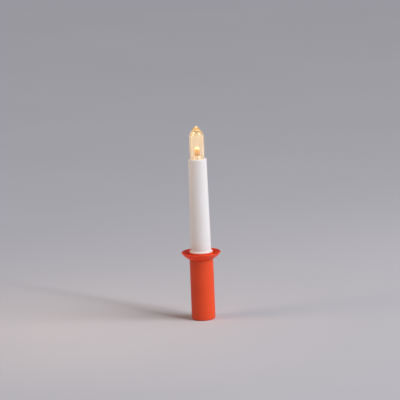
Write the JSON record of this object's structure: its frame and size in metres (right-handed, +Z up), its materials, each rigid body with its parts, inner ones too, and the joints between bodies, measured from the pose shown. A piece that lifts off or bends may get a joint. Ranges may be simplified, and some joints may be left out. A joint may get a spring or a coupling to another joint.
{
  "type": "flameless LED candle",
  "caption": "Hand-held flameless LED candle: white tapered candle with a clear bulb, in a red handle with a flared drip dish; takes one AA cell.",
  "frame": {"origin": "middle of the handle's bottom edge, on the surface that the candle stands on", "axes": "+Z up along the candle, +Y the way the switch slides to light the lamp, +X to the right seen from the front"},
  "size_m": [0.04, 0.04, 0.2],
  "materials": {
    "holder_red": "satin",
    "candle_white": "satin",
    "bulb_clear": "gloss",
    "seat_white": "matte",
    "led_epoxy": "gloss",
    "nickel": "satin",
    "wire_red": "satin",
    "wire_black": "satin",
    "board_green": "satin",
    "black_resin": "matte",
    "ferrite": "matte",
    "copper": "gloss",
    "capacitor_blue": "gloss",
    "solder": "satin",
    "carrier_grey": "matte",
    "cell_steel": "satin",
    "cell_paste": "matte",
    "cell_jacket": "gloss",
    "cell_seal": "matte",
    "screw_steel": "satin",
    "switch_steel": "satin",
    "spring_steel": "gloss"
  },
  "bodies": {
    "holder": {"holder_sleeve": "holder_red"},
    "candle": {"candle_tube": "candle_white", "flame_cover": "bulb_clear", "lamp_seat": "seat_white", "led_lens": "led_epoxy", "led_leads": "nickel", "wire_red": "wire_red", "wire_black": "wire_black", "circuit_board": "board_green", "boost_chip": "black_resin", "inductor_core": "ferrite", "inductor_winding": "copper", "capacitor": "capacitor_blue", "solder_joints": "solder", "battery_carrier": "carrier_grey", "positive_contact": "nickel", "return_strip": "nickel"},
    "battery": {"battery_can": "cell_steel", "battery_core": "cell_paste", "battery_jacket": "cell_jacket", "battery_seal": "cell_seal", "battery_cap": "cell_steel"},
    "bottom_cap": {"end_cap": "candle_white", "cap_board": "board_green", "cap_screws": "screw_steel", "switch_body": "switch_steel", "switch_pins": "nickel", "negative_spring": "spring_steel", "cap_contact": "nickel"},
    "switch_knob": {"switch_slider": "black_resin"}
  },
  "joints": [
    {"name": "candle_lift", "type": "slide", "parent": "holder", "child": "bottom_cap", "axis": [0, 0, 1], "range_m": [0, 0.072]},
    {"name": "candle_off_cap", "type": "slide", "parent": "bottom_cap", "child": "candle", "axis": [0, 0, 1], "range_m": [0, 0.085]},
    {"name": "cell_lift", "type": "slide", "parent": "bottom_cap", "child": "battery", "axis": [0, 0, 1], "range_m": [0, 0.017]},
    {"name": "switch_slide", "type": "slide", "parent": "bottom_cap", "child": "switch_knob", "axis": [0, 1, 0], "range_m": [-0.002, 0]}
  ],
  "couplings": [
    {"joint": "cell_lift", "follows": "candle_off_cap", "ratio": 0.2}
  ]
}
